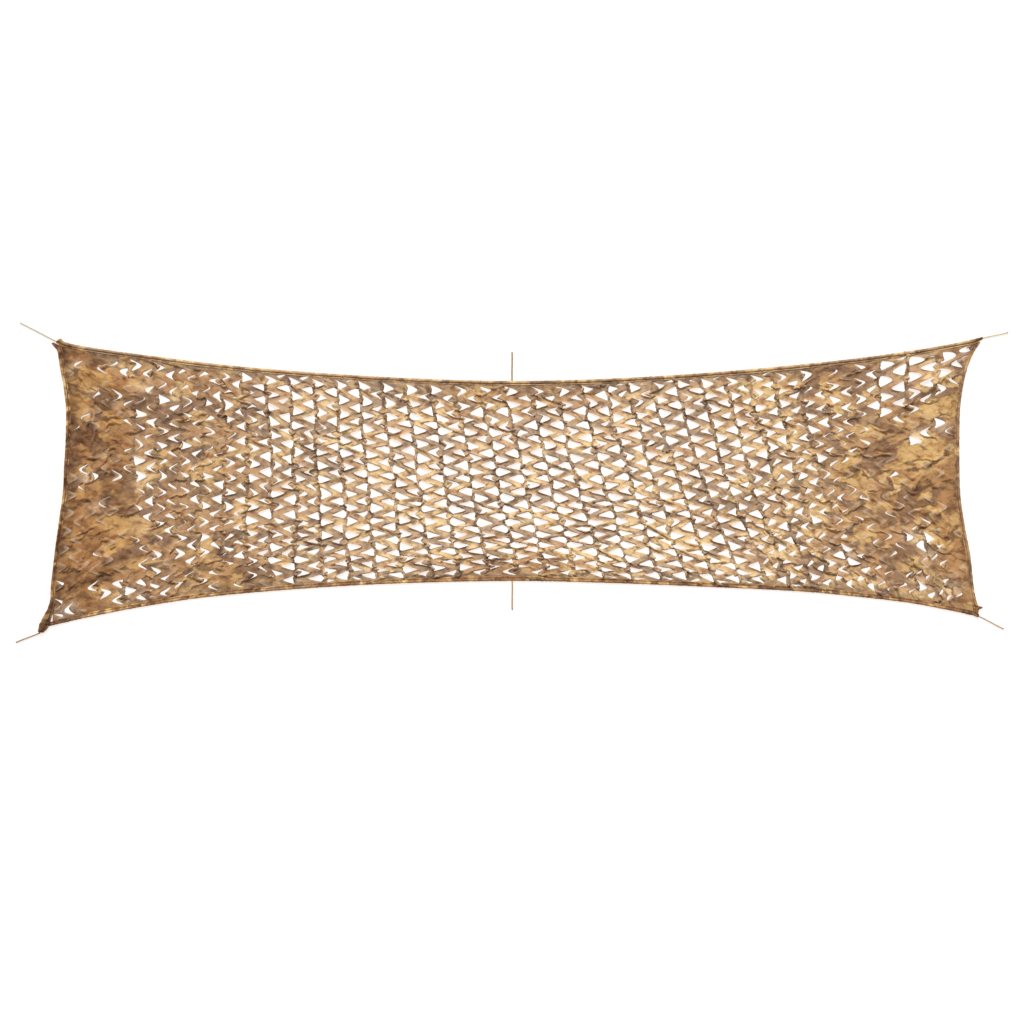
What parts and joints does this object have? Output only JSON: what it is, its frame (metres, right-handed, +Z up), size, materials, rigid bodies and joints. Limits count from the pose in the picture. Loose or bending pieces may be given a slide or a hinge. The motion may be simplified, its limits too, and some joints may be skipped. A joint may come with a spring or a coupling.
{
  "type": "camouflage netting",
  "caption": "Long camouflage net of slit cloth with drop-shaped mesh holes, bound edges and short cord ties, spread out flat on the ground.",
  "frame": {"origin": "on the surface the net lies on, under the middle of the box round its cloth and bindings", "axes": "+Z up off the surface, +X along the net towards its right end, +Y across it towards its upper long edge"},
  "size_m": [5.3102, 1.7171, 0.023],
  "materials": {
    "camo_cloth": "matt printed polyester weave in tan, golden yellow, mauve brown and dark brown",
    "binding_cloth": "the same printed cloth, folded and stitched",
    "tie_cord": "twisted tan cord with sealed grey tips"
  },
  "bodies": {
    "root": {"net_cloth": "camo_cloth", "binding_top": "binding_cloth", "binding_bottom": "binding_cloth", "binding_left": "binding_cloth", "binding_right": "binding_cloth", "tie_top_left": "tie_cord", "tie_top_right": "tie_cord", "tie_bottom_left": "tie_cord", "tie_bottom_right": "tie_cord", "tie_top": "tie_cord", "tie_bottom": "tie_cord"}
  },
  "joints": []
}
